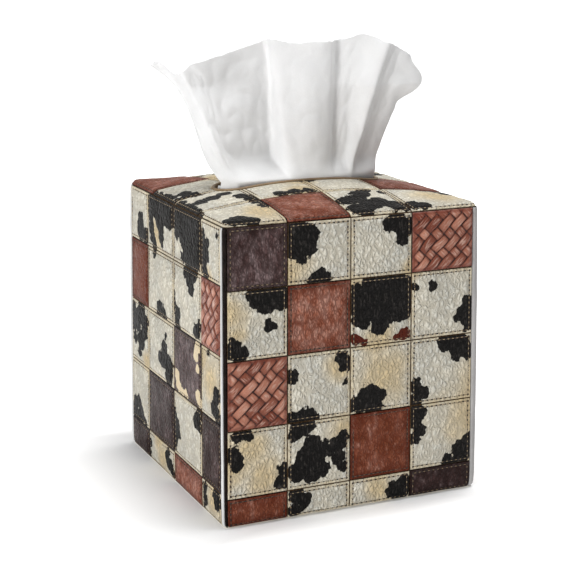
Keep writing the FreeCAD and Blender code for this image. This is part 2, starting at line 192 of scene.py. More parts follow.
def spots_of(panel):
    """Spots of one panel; those of the walls out of the photo's sight are strewn from a fixed seed."""
    if panel in SPOTS:
        return SPOTS[panel]
    strewn = random.Random(f"{panel} hides")
    found = []
    for _ in range(HIDDEN_GROUPS):
        u, v, reach = strewn.uniform(-60, 60), strewn.uniform(4, 136), strewn.uniform(*HIDDEN_REACH)
        for _ in range(HIDDEN_IN_GROUP):
            turn = strewn.uniform(0, 2 * math.pi)
            radius = reach * strewn.uniform(*HIDDEN_SHARE)
            found.append((u + reach * math.cos(turn), v + reach * math.sin(turn), radius))
    return found


def linear(hex_colour):
    """sRGB hex colour as linear red, green, blue, alpha."""
    parts = [int(hex_colour[i:i + 2], 16) / 255 for i in (1, 3, 5)]
    return (*[c / 12.92 if c <= 0.04045 else ((c + 0.055) / 1.055) ** 2.4 for c in parts], 1)


def add(tree, kind, inputs=None, **settings):
    """Add a node with its settings, and give its inputs values or links."""
    made = tree.nodes.new("ShaderNode" + kind)
    for key, value in settings.items():
        setattr(made, key, value)
    for key, value in (inputs or {}).items():
        if isinstance(value, bpy.types.NodeSocket):
            tree.links.new(value, made.inputs[key])
        else:
            made.inputs[key].default_value = value
    return made.outputs


def per(millimetres):
    """Texture scale that gives features of a real size."""
    return 1 / (millimetres * MM)


def nodes_of(owner):
    """Empty the nodes of a material or world, and give what adds new ones to it."""
    owner.use_nodes = True
    owner.node_tree.nodes.clear()
    return functools.partial(add, owner.node_tree)


def material(name):
    """Empty material, what adds its nodes, and its object coordinates."""
    made = bpy.data.materials.new(name)
    put = nodes_of(made)
    return made, put, put("TexCoord")["Object"]


def finish(put, colour, roughness, height, relief_mm, strength, **sockets):
    """Close a material: colour, roughness and relief into one surface."""
    bump = put("Bump", {"Height": height, "Distance": relief_mm * MM, "Strength": strength})["Normal"]
    inputs = {"Base Color": colour, "Roughness": roughness, "Normal": bump, **sockets}
    surface = put("BsdfPrincipled", inputs)["BSDF"]
    put("OutputMaterial", {"Surface": surface})


COLOURS = {"data_type": "RGBA"}
SMOOTH = {"interpolation_type": "SMOOTHSTEP"}


def sewn(put, colour, edge, cloud, seam, sheen, grain, relief_mm, strength, specular):
    """Close a leather: dark in the seams, and glossier in clouds."""
    dark = put("MapRange", {0: edge, 1: 0.35, 2: 0.0}, **SMOOTH)["Result"]
    colour = put("Mix", {0: dark, 6: colour, 7: linear(seam)}, **COLOURS)[2]
    glaze = put("MapRange", {0: cloud, 1: 0.3, 2: 0.7, 3: sheen[0], 4: sheen[1]})["Result"]
    finish(put, colour, glaze, grain, relief_mm, strength, **{"Specular IOR Level": specular})


def grained(put, coords, pebble_mm, stretch):
    """Milled leather grain, as coarse as the photo shows it: 0 in the creases to 1 on the pebbles."""
    drift = put("TexNoise", {"Vector": coords, "Scale": per(4), "Detail": 2})["Color"]
    drift = put("VectorMath", {0: drift, 1: (0.5, 0.5, 0.5)}, operation="SUBTRACT")["Vector"]
    drift = put("VectorMath", {0: drift, "Scale": 1.8 * MM}, operation="SCALE")["Vector"]
    moved = put("VectorMath", {0: coords, 1: drift}, operation="ADD")["Vector"]
    drawn = put("Mapping", {"Vector": moved, "Scale": stretch})["Vector"]
    heights = []
    for size, reach, height in ((pebble_mm, 0.35, 0.4), (0.42 * pebble_mm, 0.4, 0.6)):
        net = {"Vector": drawn, "Scale": per(size)}
        net = put("TexVoronoi", net, feature="DISTANCE_TO_EDGE")["Distance"]
        heights.append(put("MapRange", {0: net, 1: 0.0, 2: reach, 4: height}, **SMOOTH)["Result"])
    return put("Math", {0: heights[0], 1: heights[1]}, operation="ADD")["Value"]


def cowhide():
    """Cowhide with printed spots, milled: pebbled, with a soft satin sheen.

    The eye gets cream and grey-white grain, painted shade in its creases, tan stains, ragged black spots,
    and a tan turned edge.
    """
    made, put, coords = material("milled_cowhide")
    grain = grained(put, coords, 3.8, (0.85, 0.85, 0.6))
    marks = ("edge", "stain", "spot", "rust")
    edge, stain, ragged, rust = (put("Attribute", attribute_name=mark)["Fac"] for mark in marks)
    cloud = put("TexNoise", {"Vector": coords, "Scale": per(13), "Detail": 4})["Fac"]
    pale = put("MapRange", {0: cloud, 1: 0.35, 2: 0.65}, **SMOOTH)["Result"]
    cream = put("Mix", {0: pale, 6: linear("#d6d4ca"), 7: linear("#e7e2d3")}, **COLOURS)[2]
    stain = put("Math", {0: cloud, 1: 0.7, 2: stain}, operation="MULTIPLY_ADD")["Value"]
    stain = put("MapRange", {0: stain, 1: 0.45, 2: 1.2}, **SMOOTH)["Result"]
    # Painted shade: the hide is darker in the grain's creases
    crease_shade = put("MapRange", {0: grain, 1: 0.75, 2: 0.1, 4: 0.5}, **SMOOTH)["Result"]
    turned = put("MapRange", {0: edge, 1: 1.7, 2: 0.9, 4: 0.7})["Result"]
    turned = put("Math", {0: turned, 1: cloud}, operation="MULTIPLY")["Value"]
    for share, layer in ((stain, "#dbc69e"), (crease_shade, "#9d937f"), (turned, "#d8c59c")):
        cream = put("Mix", {0: share, 6: cream, 7: linear(layer)}, **COLOURS)[2]

    lobes = put("TexNoise", {"Vector": coords, "Scale": per(3.4), "Detail": 1})["Fac"]
    combed = put("Mapping", {"Vector": coords, "Scale": (1, 1, 0.3)})["Vector"]
    hairs = put("TexNoise", {"Vector": combed, "Scale": per(0.8), "Detail": 2})["Fac"]
    ragged = put("Math", {0: lobes, 1: 4.6, 2: ragged}, operation="MULTIPLY_ADD")["Value"]
    ragged = put("Math", {0: hairs, 1: 1.6, 2: ragged}, operation="MULTIPLY_ADD")["Value"]
    spotted = put("MapRange", {0: ragged, 1: 2.9, 2: 3.25}, **SMOOTH)["Result"]
    # Hair streaks in the black, lighter on the pebble tops: partly the hair's colour, partly a painted
    # highlight
    hair_and_highlight = put("MapRange", {0: hairs, 1: 0.42, 2: 0.75}, **SMOOTH)["Result"]
    hair_and_highlight = put("Math", {0: hair_and_highlight, 1: grain}, operation="MULTIPLY")["Value"]
    black = put("Mix", {0: hair_and_highlight, 6: linear("#100f0e"), 7: linear("#46423f")}, **COLOURS)[2]
    colour = put("Mix", {0: spotted, 6: cream, 7: black}, **COLOURS)[2]
    rust = put("Math", {0: lobes, 1: 4.6, 2: rust}, operation="MULTIPLY_ADD")["Value"]
    rust = put("MapRange", {0: rust, 1: 2.1, 2: 2.5}, **SMOOTH)["Result"]
    colour = put("Mix", {0: rust, 6: colour, 7: linear("#4f2015")}, **COLOURS)[2]
    sewn(put, colour, edge, cloud, "#59432b", (0.6, 0.46), grain, 0.9, 1.0, 0.06)
    return made


def smooth_leather(name, low, high, wear_and_sheen_layer, shade, gloss, flat, specular):
    """Pigmented cow leather, milled and glazed: painted shade in creases and by seams, paler with wear and
    painted sheen.
    """
    made, put, coords = material(name)
    grain = grained(put, coords, 3.0, (1, 1, 0.55))
    marks = ("edge", "tone", "bare")
    edge, tone, bare = (put("Attribute", attribute_name=mark)["Fac"] for mark in marks)
    cloud = {"Vector": coords, "Scale": per(9), "Detail": 5, "Roughness": 0.6}
    cloud = put("TexNoise", cloud)["Fac"]
    even = put("Math", {0: tone, 1: 0.5, 2: cloud}, operation="MULTIPLY_ADD")["Value"]
    even = put("MapRange", {0: even, 1: 0.45, 2: 1.05}, **SMOOTH)["Result"]
    colour = put("Mix", {0: even, 6: linear(low), 7: linear(high)}, **COLOURS)[2]
    combed = put("Mapping", {"Vector": coords, "Scale": (1, 1, 0.6)})["Vector"]
    rough = put("TexNoise", {"Vector": combed, "Scale": per(3), "Detail": 3})["Fac"]
    # Paler in soft clouds: partly wear, partly a painted sheen
    sheen_and_wear = put("Math", {0: even, 1: 0.3, 2: rough}, operation="MULTIPLY_ADD")["Value"]
    sheen_and_wear = put("MapRange", {0: sheen_and_wear, 1: 0.55, 2: 1.0, 4: 0.75}, **SMOOTH)["Result"]
    # Painted shade: darker in the grain's creases, and towards the seams in mottled clouds
    crease_shade = put("MapRange", {0: grain, 1: 0.75, 2: 0.1, 4: 0.6}, **SMOOTH)["Result"]
    edge_shade = put("Math", {0: cloud, 1: 10.0, 2: edge}, operation="MULTIPLY_ADD")["Value"]
    edge_shade = put("MapRange", {0: edge_shade, 1: 10.5, 2: 4.5, 4: 0.8})["Result"]
    bare = put("Math", {0: rough, 1: 4.6, 2: bare}, operation="MULTIPLY_ADD")["Value"]
    bare = put("MapRange", {0: bare, 1: 2.1, 2: 2.5}, **SMOOTH)["Result"]
    for share, layer in ((sheen_and_wear, wear_and_sheen_layer), (crease_shade, shade), (edge_shade, shade), (bare, "#dccaa8")):
        colour = put("Mix", {0: share, 6: colour, 7: linear(layer)}, **COLOURS)[2]
    sewn(put, colour, edge, cloud, "#150b08", (flat, gloss), grain, 0.6, 0.95, specular)
    return made


def woven_leather():
    """Thin calf strips, woven over two and under one, glazed: painted pink-grey highlight on the crests,
    painted shade between.
    """
    made, put, coords = material("woven_calf_strips")
    grain = grained(put, coords, 1.5, (1, 1, 1))
    marks = ("run", "off", "strip", "crest", "edge")
    run, off, strip, crest, edge = (put("Attribute", attribute_name=mark)["Fac"] for mark in marks)
    along = put("CombineXYZ", {0: run, 1: off})["Vector"]
    along = put("Mapping", {"Vector": along, "Scale": (0.22, 1.1, 1)})["Vector"]
    cloud = put("TexNoise", {"Vector": along, "Scale": 1.0, "Detail": 3})["Fac"]
    colour = put("Mix", {0: strip, 6: linear("#6b2c16"), 7: linear("#ba7e67")}, **COLOURS)[2]
    # Painted highlight on the crests of the strips, in clouds along them
    sheen_and_wear = put("Math", {0: crest, 1: cloud}, operation="MULTIPLY")["Value"]
    sheen_and_wear = put("MapRange", {0: sheen_and_wear, 1: 0.4, 2: 0.68, 4: 0.8}, **SMOOTH)["Result"]
    # Painted shade where the strips dip under their neighbours, and in the gaps between them
    ends = put("MapRange", {0: crest, 1: 0.92, 2: 0.4}, **SMOOTH)["Result"]
    gap_shade = put("MapRange", {0: crest, 1: 0.6, 2: 0.2}, **SMOOTH)["Result"]
    turned = put("MapRange", {0: edge, 1: 2.2, 2: 1.2, 4: 0.6})["Result"]
    for share, layer in ((sheen_and_wear, "#cba696"), (ends, "#5f2816"), (gap_shade, "#240d07"), (turned, "#6b2f1f")):
        colour = put("Mix", {0: share, 6: colour, 7: linear(layer)}, **COLOURS)[2]
    sewn(put, colour, edge, cloud, "#150b08", (0.5, 0.32), grain, 0.15, 0.8, 0.25)
    return made


def plain(name, colours, fibre_mm, stretch, roughness, relief_mm):
    """Paper, board, cloth or foam: two close colours in clouds, with a fibre or pore relief.

    The fibres and pores are drawn coarser than real ones, which would be too fine to see.
    """
    made, put, coords = material(name)
    drawn = put("Mapping", {"Vector": coords, "Scale": stretch})["Vector"]
    fibre = {"Vector": drawn, "Scale": per(fibre_mm), "Detail": 4, "Roughness": 0.65}
    fibre = put("TexNoise", fibre)["Fac"]
    cloud = put("TexNoise", {"Vector": coords, "Scale": per(18), "Detail": 3})["Fac"]
    both = put("Math", {0: fibre, 1: 0.5, 2: cloud}, operation="MULTIPLY_ADD")["Value"]
    both = put("MapRange", {0: both, 1: 0.55, 2: 0.95}, **SMOOTH)["Result"]
    colour = put("Mix", {0: both, 6: linear(colours[0]), 7: linear(colours[1])}, **COLOURS)[2]
    finish(put, colour, roughness, fibre, relief_mm, 0.6)
    return made


def waxed_thread():
    """Waxed linen thread, two-ply: cream on the hides and the dark leather, brown on the browns."""
    made, put, coords = material("waxed_linen_thread")
    ply = put("TexNoise", {"Vector": coords, "Scale": per(0.35), "Detail": 2})["Fac"]
    tone = put("Attribute", attribute_name="tone")["Fac"]
    colour = put("Mix", {0: tone, 6: linear("#35180f"), 7: linear("#9f8d6e")}, **COLOURS)[2]
    wear_and_sheen_layer = put("MapRange", {0: ply, 1: 0.3, 2: 0.8, 4: 0.5}, **SMOOTH)["Result"]
    colour = put("Mix", {0: wear_and_sheen_layer, 6: colour, 7: linear("#7a5c3c")}, **COLOURS)[2]
    finish(put, colour, 0.55, ply, 0.08, 0.6)
    return made


# Leathers: a brown and a plum black, paler pink and grey with wear and painted sheen, and a near-black edge
HIDE = cowhide()
BROWN = smooth_leather("red_brown_leather", "#75402b", "#a5654f", "#c79b8b", "#521f10", 0.36, 0.52, 0.06)
DARK = smooth_leather("dark_brown_leather", "#2c1a17", "#5d4544", "#9c8888", "#1d100e", 0.34, 0.5, 0.08)
BLACK = smooth_leather("black_edge_leather", "#150b09", "#271814", "#46352f", "#0a0504", 0.4, 0.5, 0.06)
WOVEN = woven_leather()
THREAD = waxed_thread()
# Dark specks of painted shade in the stitch holes, matt white tape and the same tape with painted shade, and
# a tan rolled rim at the slot
HOLE_SHADE = plain("stitch_hole_painted_shade", ("#170e09", "#2a1a10"), 0.4, (1, 1, 1), 0.8, 0.05)
TAPE = plain("white_cotton_tape", ("#cfcfce", "#dededd"), 0.5, (1, 1, 2.5), 0.85, 0.08)
PAINTED_SHADE_TAPE = plain("white_tape_painted_shade", ("#a3a1a0", "#b3b1b0"), 0.5, (1, 1, 2.5), 0.85, 0.08)
PIPING = plain("brown_leather_binding", ("#6f5a40", "#8a7354"), 0.6, (1, 1, 1), 0.6, 0.1)
# Porous cream foam, fibrous grey board, off-white cloth, smooth white carton and soft white paper
FOAM = plain("cut_polyurethane_foam", ("#d8d3c2", "#e8e4d6"), 0.9, (1, 1, 1), 0.95, 0.3)
BOARD = plain("grey_binders_board", ("#85807a", "#a09b94"), 0.6, (1, 1, 0.4), 0.9, 0.08)
LINING = plain("calico_lining", ("#d3cdbf", "#e6e1d5"), 0.5, (1, 1, 1), 0.9, 0.08)
CARTON = plain("bleached_carton_board", ("#e6e4df", "#eceae6"), 0.4, (1, 1, 0.5), 0.6, 0.04)
TISSUE = plain("two_ply_tissue_paper", ("#e5e5e5", "#eeeeee"), 0.5, (1, 1, 1), 0.95, 0.05)


def placed(name, data):
    """New object in the scene."""
    made = bpy.data.objects.new(name, data)
    bpy.context.scene.collection.objects.link(made)
    return made


class Piece:
    """One object in the making: its points in millimetres, its faces, and what is marked on each point."""

    def __init__(self, name):
        self.name = name
        self.points, self.faces, self.marks = [], [], {}

    def point(self, place, **marks):
        """Add a point with its marks, and give its number."""
        self.points.append(place)
        for key, value in marks.items():
            self.marks.setdefault(key, []).append(value)
        return len(self.points) - 1

    def grid(self, rows, kept=lambda face: True):
        """Add the faces between rows of points, those that are kept."""
        for low, high in zip(rows, rows[1:]):
            for i in range(len(low) - 1):
                face = (low[i], low[i + 1], high[i + 1], high[i])
                if kept(face):
                    self.faces.append(face)

    def make(self, finish_of, body, slot, *nodes):
        """Make the object, on its body, in place of the nodes; its slot is not used."""
        mesh = bpy.data.meshes.new(self.name)
        mesh.from_pydata([p * MM for p in self.points], [], self.faces)
        for key, values in self.marks.items():
            mesh.attributes.new(key, "FLOAT", "POINT").data.foreach_set("value", values)
        mesh.shade_smooth()
        mesh.materials.append(finish_of)
        made = placed(self.name, mesh)
        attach(made, body)
        if nodes:
            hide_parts(*nodes)
        return made


def fullness(turn):
    """How far a padded corner stands out at a turn round it, against a plain arc."""
    return (abs(math.cos(turn)) ** CORNER + abs(math.sin(turn)) ** CORNER) ** (-1 / CORNER)


def stuffing(z):
    """How far the padded wall stands out at a height; it is drawn in at the hem."""
    slack = SWELL_FOOT + (SWELL_TOP - SWELL_FOOT) * z / TOP_SEAM
    return slack * (1 - HEM_PULL * math.exp(-z / HEM_PULL_REACH))


def wall_at(panel):
    """Function from a place on a wall, in mm along it and up it, to its point and outward normal."""
    right, out = (Vector(d) for d in PANELS[panel])

    def at(u, z):
        turn = max(0, abs(u) - FLAT) / EDGE
        facing = right * math.copysign(math.sin(turn), u) + out * math.cos(turn)
        slack = stuffing(z)
        middle = right * (max(-FLAT, min(FLAT, u)) * (1 + slack / FLAT)) + out * (FLAT + slack)
        lean, inset = 0, 0
        if z < HEM:
            share = (HEM - z) / HEM
            lean, inset = -math.asin(share), HEM * (1 - (1 - share ** CORNER) ** (1 / CORNER))
        elif z > SIDE - EDGE:
            lean = math.asin((z - SIDE + EDGE) / EDGE)
            inset = EDGE * (1 - math.cos(lean))
        reach = EDGE * fullness(turn) - inset
        return middle + facing * reach + UP * z, facing * math.cos(lean) + UP * math.sin(lean)

    return at


def top_at(x, y):
    """Point and normal of the crowned top; past its flat, x and y go on round the fold."""
    flat_x, flat_y = max(-FLAT, min(FLAT, x)), max(-FLAT, min(FLAT, y))
    over_x, over_y = abs(x - flat_x), abs(y - flat_y)
    across_x, across_y = 1 - (flat_x / FLAT) ** 2, 1 - (flat_y / FLAT) ** 2
    if over_x == 0 and over_y == 0:
        slope_x = -2 * CROWN * flat_x / FLAT ** 2 * across_y
        slope_y = -2 * CROWN * flat_y / FLAT ** 2 * across_x
        normal = Vector((-slope_x, -slope_y, 1)).normalized()
        return Vector((x, y, SIDE + CROWN * across_x * across_y)), normal
    turn = math.atan2(over_y, over_x)
    lean = max(over_x, over_y) / EDGE
    facing = Vector((math.copysign(math.cos(turn), x), math.copysign(math.sin(turn), y), 0))
    reach = EDGE * fullness(turn) * math.sin(lean)
    slack = 1 + stuffing(SIDE) / FLAT * math.sin(lean)
    middle = Vector((flat_x * slack, flat_y * slack, SIDE - EDGE + EDGE * math.cos(lean)))
    return middle + facing * reach, facing * math.sin(lean) + UP * math.cos(lean)


def slot_distance(x, y, length, width):
    """Distance outside a round-ended slot, less than 0 inside it."""
    straight = (length - width) / 2
    return math.hypot(max(0, abs(x) - straight), y) - width / 2


def steps(low, high, count):
    """Evenly spaced numbers, both ends among them."""
    return [low + (high - low) * i / count for i in range(count + 1)]


# Points of a patch: their distances from its edge, and the steps between the others
EDGE_STEPS = (0, 0.25, 0.6, 1.1, 1.5, 1.9, 2.4, 3.0)
PATCH_STEP, WOVEN_STEP = 1.4, 0.42


def spaced(low, high, step):
    """Places across a patch, close together by its edges, where it rolls down into the seam."""
    near = [o for o in EDGE_STEPS if o < (high - low) / 2 - 0.2]
    first, last = low + near[-1], high - near[-1]
    middle = steps(first, last, max(1, round((last - first) / step)))
    return [low + o for o in near[:-1]] + middle + [high - o for o in reversed(near[:-1])]


def inside(value, low, high):
    """Whether a value lies between two others."""
    return low <= value <= high


# Sewn edge: the stitches' inset and pitch, what the swollen edges close of each gap, drop and width of the
# rolled edge, depth and width of the stitch furrow, and height, start and reach of the pillow
STITCH_INSET, STITCH_PITCH = 1.5, 2.4
CLOSED = 0.13
ROLL_DROP, ROLL_WIDTH = 0.45, 0.8
FURROW_DEPTH, FURROW_WIDTH = 0.28, 0.6
PILLOW, PILLOW_START, PILLOW_REACH = 0.6, 1, 4.5

# Slack of the leather over the foam: height and length of its waves, and how far in from the edge it starts
WAVES = ((0.35, 12), (0.16, 4.3))
SLACK_START = 2
NO_SPOT = -20.0


def swell(d):
    """Height of a sewn patch at a distance from its edge: rolled edge, stitch furrow, pillow."""
    roll = -ROLL_DROP * max(0, 1 - d / ROLL_WIDTH) ** 2
    furrow = -FURROW_DEPTH * math.exp(-((d - STITCH_INSET) / FURROW_WIDTH) ** 2)
    pillow = PILLOW * (1 - math.exp(-max(0, d - PILLOW_START) / PILLOW_REACH))
    return roll + furrow + pillow


def crumple(place):
    """Slack of the leather over the foam."""
    return sum(high * noise.noise(place / length) for high, length in WAVES)


def spot_depth(spots, u, v):
    """How deep a place lies within the spots, less than 0 outside them."""
    return max((r - math.hypot(u - x, v - y) for x, y, r in spots), default=NO_SPOT)


def stain_share(stains, u, v):
    """How strong the stains are at a place, 1 in the middle of one."""
    return max((1 - math.hypot(u - x, v - y) / r for x, y, r in stains), default=0)


# Weave: pitch of the strips, how far they wander and over what length, how much of a half strip slopes down
# to its side, and how high the strips stand and how far in from the patch's edge they do
WEAVE_PITCH = 4.5
WANDER, WANDER_LENGTH = 0.8, 11
STRIP_SLOPE = 0.24
WEAVE_RISE, WEAVE_START = 1.0, 2.5


def weave(u, v):
    """Marks of a diagonal weave, over two and under one: height, shade and place of the strip on top."""
    drawn = Vector((u, v, 0)) / WANDER_LENGTH
    u, v = u + WANDER * noise.noise(drawn), v + WANDER * noise.noise(drawn + UP)
    a, b = (u + v) / math.sqrt(2) / WEAVE_PITCH, (v - u) / math.sqrt(2) / WEAVE_PITCH
    step = (math.floor(a) + math.floor(b)) % 3
    if step:
        length, along, across, strip, run = 2, (step - 1 + a % 1) / 2, 2 * (b % 1) - 1, math.floor(b), a
    else:
        length, along, across, strip, run = 1, b % 1, 2 * (a % 1) - 1, math.floor(a) + 40, b
    fall = max(0, min(1, (1 - abs(across)) / STRIP_SLOPE))
    crest = (0.4 + 0.6 * math.sin(math.pi * along) ** 0.45) * fall * (1 - 0.15 * across * across)
    shade = random.Random(strip * 97 + round(run - length * along) * 7).random()
    off = (across / 2 + 2 * strip) * WEAVE_PITCH
    return {"crest": crest, "strip": shade, "run": run * WEAVE_PITCH, "off": off}


# Stitches and the painted shade of their holes: half length, half width, half height, and how far the ends
# sink;
# how far they stand off the furrow and keep from the slot, their girth from end to end, and the thread's
# paleness
THREAD_SIZE, HOLE_SIZE = (0.6, 0.22, 0.16, 0.16), (0.58, 0.34, 0.12, 0.0)
THREAD_LIFT, HOLE_LIFT = 0.06, 0.05
SLOT_MARGIN = 2.5
GIRTHS = ((-1, 0.3), (-0.7, 0.85), (0, 1), (0.7, 0.85), (1, 0.3))
THREAD_TONES = {"hide": 0.9, "brown": 0.12, "dark": 0.5, "woven": 0.1}


class Patchwork:
    """One panel's leather: a piece for each kind, and its stitches."""

    def __init__(self, panel, at):
        self.panel, self.at = panel, at
        self.kinds = {}
        self.threads, self.hole_shades = Piece(f"{panel}_stitches"), Piece(f"{panel}_stitch_hole_shades")
        self.spots, self.stains = spots_of(panel), STAINS.get(panel, [])
        self.rust, self.bare = RUST_SPOTS.get(panel, []), BARE_SPOTS.get(panel, [])
        self.slotted = panel == "top"

    def patch(self, leather, tone, u0, u1, v0, v1):
        """Lay one patch between its edges, turn its rim down, and stitch it."""
        piece = self.kinds.setdefault(leather, Piece(f"{self.panel}_{leather}_leather"))
        near = [s for s in self.spots if inside(s[0], u0 - 1, u1 + 1) and inside(s[1], v0 - 1, v1 + 1)]
        step = WOVEN_STEP if leather == "woven" else PATCH_STEP
        us, vs = spaced(u0, u1, step), spaced(v0, v1, step)
        sunk = set()

        def lay(u, v, skirt=False):
            d = min(u - u0, u1 - u, v - v0, v1 - v)
            hole = slot_distance(u, v, BOUND_LENGTH, BOUND_WIDTH) if self.slotted else d
            if self.slotted and hole < 0:
                straight = (BOUND_LENGTH - BOUND_WIDTH) / 2
                away = Vector((math.copysign(max(0, abs(u) - straight), u), v, 0))
                u, v = u - away.x, v - away.y
                away = (away.normalized() if away.length else Vector((0, 1, 0))) * (BOUND_WIDTH / 2)
                u, v = u + away.x, v + away.y
            d = min(d, max(0, hole))
            place, normal = self.at(u, v)
            marks = {"edge": -1.0 if skirt else d}
            if leather == "woven":
                marks.update(weave(u, v))
                lifted = WEAVE_RISE * marks["crest"] * min(1, d / WEAVE_START)
                rise = -SKIN if skirt else min(0, swell(d)) + lifted
            else:
                rise = -SKIN if skirt else swell(d) + crumple(place) * min(1, d / SLACK_START)
            if leather in ("brown", "dark"):
                marks["tone"] = tone
                marks["bare"] = spot_depth(self.bare, u, v)
            if leather == "hide":
                marks["spot"] = spot_depth(near, u, v)
                marks["rust"] = spot_depth(self.rust, u, v)
                marks["stain"] = stain_share(self.stains, u, v)
            index = piece.point(place + normal * rise, **marks)
            if self.slotted and hole < 0:
                sunk.add(index)
            return index

        def shown(face):
            return not all(i in sunk for i in face)

        rows = [[lay(u, v) for u in us] for v in vs]
        piece.grid(rows, shown)
        rim = [(u, vs[0]) for u in us] + [(us[-1], v) for v in vs[1:]]
        rim += [(u, vs[-1]) for u in us[-2::-1]] + [(us[0], v) for v in vs[-2:0:-1]]
        loop = rows[0] + [row[-1] for row in rows[1:]]
        loop += rows[-1][-2::-1] + [row[0] for row in rows[-2:0:-1]]
        skirt = [lay(u, v, True) for u, v in rim]
        piece.grid([skirt + skirt[:1], loop + loop[:1]], shown)
        self.stitch_round(leather, u0, u1, v0, v1)

    def stitch_round(self, leather, u0, u1, v0, v1):
        """Stitch round a patch: painted hole shades and threads by turns."""
        us, vs = (u0 + STITCH_INSET, u1 - STITCH_INSET), (v0 + STITCH_INSET, v1 - STITCH_INSET)
        sides = [(us, (v, v), (1, 0)) for v in vs] + [((u, u), vs, (0, 1)) for u in us]
        for ends_u, ends_v, along in sides:
            length = ends_u[1] - ends_u[0] + ends_v[1] - ends_v[0]
            count = 2 * max(1, round(length / STITCH_PITCH))
            for i, (u, v) in enumerate(zip(steps(*ends_u, count), steps(*ends_v, count))):
                if self.slotted and slot_distance(u, v, SLOT_LENGTH, SLOT_WIDTH) < SLOT_MARGIN:
                    continue
                self.stitch(u, v, along, THREAD_TONES[leather], i % 2)

    def stitch(self, u, v, along, tone, thread):
        """Lay one thread, or the painted shade of one hole, in the furrow, along the seam."""
        here, normal = self.at(u, v)
        ahead = self.at(u + along[0] / 2, v + along[1] / 2)[0]
        behind = self.at(u - along[0] / 2, v - along[1] / 2)[0]
        forward = (ahead - behind).normalized()
        side = normal.cross(forward).normalized()
        ground = here + normal * (swell(STITCH_INSET) + HOLE_LIFT)
        if thread:
            pill(self.threads, ground + normal * THREAD_LIFT, forward, side, normal, *THREAD_SIZE, tone=tone)
        else:
            pill(self.hole_shades, ground, forward, side, normal, *HOLE_SIZE)

    def make(self):
        """Make the panel's leathers, threads and painted hole shades."""
        finishes = {"hide": HIDE, "brown": BROWN, "dark": DARK, "woven": WOVEN}
        for leather, piece in self.kinds.items():
            piece.make(finishes[leather], "cover", f"{leather}_leather", f"{self.panel}_{leather}_patches")
        self.threads.make(THREAD, "cover", "plain_tape")
        self.hole_shades.make(HOLE_SHADE, "cover", "dark_leather")


def pill(piece, middle, forward, side, normal, reach, wide, high, sink, **marks):
    """Short thick stroke that tapers and sinks at its ends."""
    rings = []
    for t, girth in GIRTHS:
        ring = []
        for k in range(6):
            turn = k * math.pi / 3
            sideways, rise = wide * girth * math.cos(turn), high * girth * math.sin(turn) - sink * t * t
            off = side * sideways + normal * rise
            ring.append(piece.point(middle + forward * (reach * t) + off, **marks))
        rings.append(ring + ring[:1])
    piece.grid(rings)
    piece.faces += [tuple(rings[0][:6]), tuple(reversed(rings[-1][:6]))]


def bands(low, seams, high):
    """Spaces between seams, with half a gap at each, less what the swollen edges close."""
    half = SEAM_GAP / 2 - CLOSED
    return list(zip([low] + [s + half for s in seams], [s - half for s in seams] + [high]))


for panel in LAYOUTS:
    side = panel in ("left", "right")
    if panel == "top":
        work = Patchwork(panel, top_at)
        rows = bands(-TOP_END - CLOSED, TOP_ROWS, TOP_END + CLOSED)
        columns = bands(-TOP_END - CLOSED, FRONT_COLUMNS, TOP_END + CLOSED)
    else:
        work = Patchwork(panel, wall_at(panel))
        rows = bands(FOOT, SIDE_ROWS if side else FRONT_ROWS, TOP_SEAM - SEAM_GAP / 2 + CLOSED)
        low, high = WALL_ENDS[panel]
        columns = bands(low, SIDE_COLUMNS if side else FRONT_COLUMNS, high)
    for row, (letters, (v0, v1)) in enumerate(zip(LAYOUTS[panel], reversed(rows))):
        for column, (letter, (u0, u1)) in enumerate(zip(letters, columns)):
            work.patch(LEATHERS[letter], TONES.get((panel, row, column), MIDDLE_TONE), u0, u1, v0, v1)
    work.make()


# Corner strips: step across, levels, height and length of their ripple, and how far their edges dip
STRIP_STEP, STRIP_LEVELS = 0.4, 92
STRIP_RIPPLE, STRIP_RIPPLE_LENGTH = 0.12, 9
STRIP_DIP = 0.25
STRIP_TONE = 0.4


def corner_strip(name, panel, foot, head, swelling, finish_of, slot, node):
    """Strip up one round corner, from its ends at the foot to those at the top, tucked in at its edges."""
    piece = Piece(name)
    at = wall_at(panel)
    count = max(4, round((head[1] - head[0]) / STRIP_STEP))
    rows = []
    for j, z in enumerate(steps(FOOT, TOP_SEAM - SEAM_GAP / 2, STRIP_LEVELS)):
        u0, u1 = (a + (b - a) * j / STRIP_LEVELS for a, b in zip(foot, head))
        row = []
        for i in range(-1, count + 2):
            share = max(0, min(1, i / count))
            place, normal = at(u0 + (u1 - u0) * share, z)
            bulge = math.sin(math.pi * j / STRIP_LEVELS) * math.sin(math.pi * share)
            ripple = STRIP_RIPPLE * noise.noise(place / STRIP_RIPPLE_LENGTH)
            tucked = i in (-1, count + 1)
            rise = -SKIN if tucked else swelling * bulge + ripple - STRIP_DIP * (share in (0, 1))
            edge = 0.8 + 2 * min(share, 1 - share)
            row.append(piece.point(place + normal * rise, edge=edge, tone=STRIP_TONE, bare=NO_SPOT))
        rows.append(row)
    piece.grid(rows)
    piece.make(finish_of, "cover", slot, node)


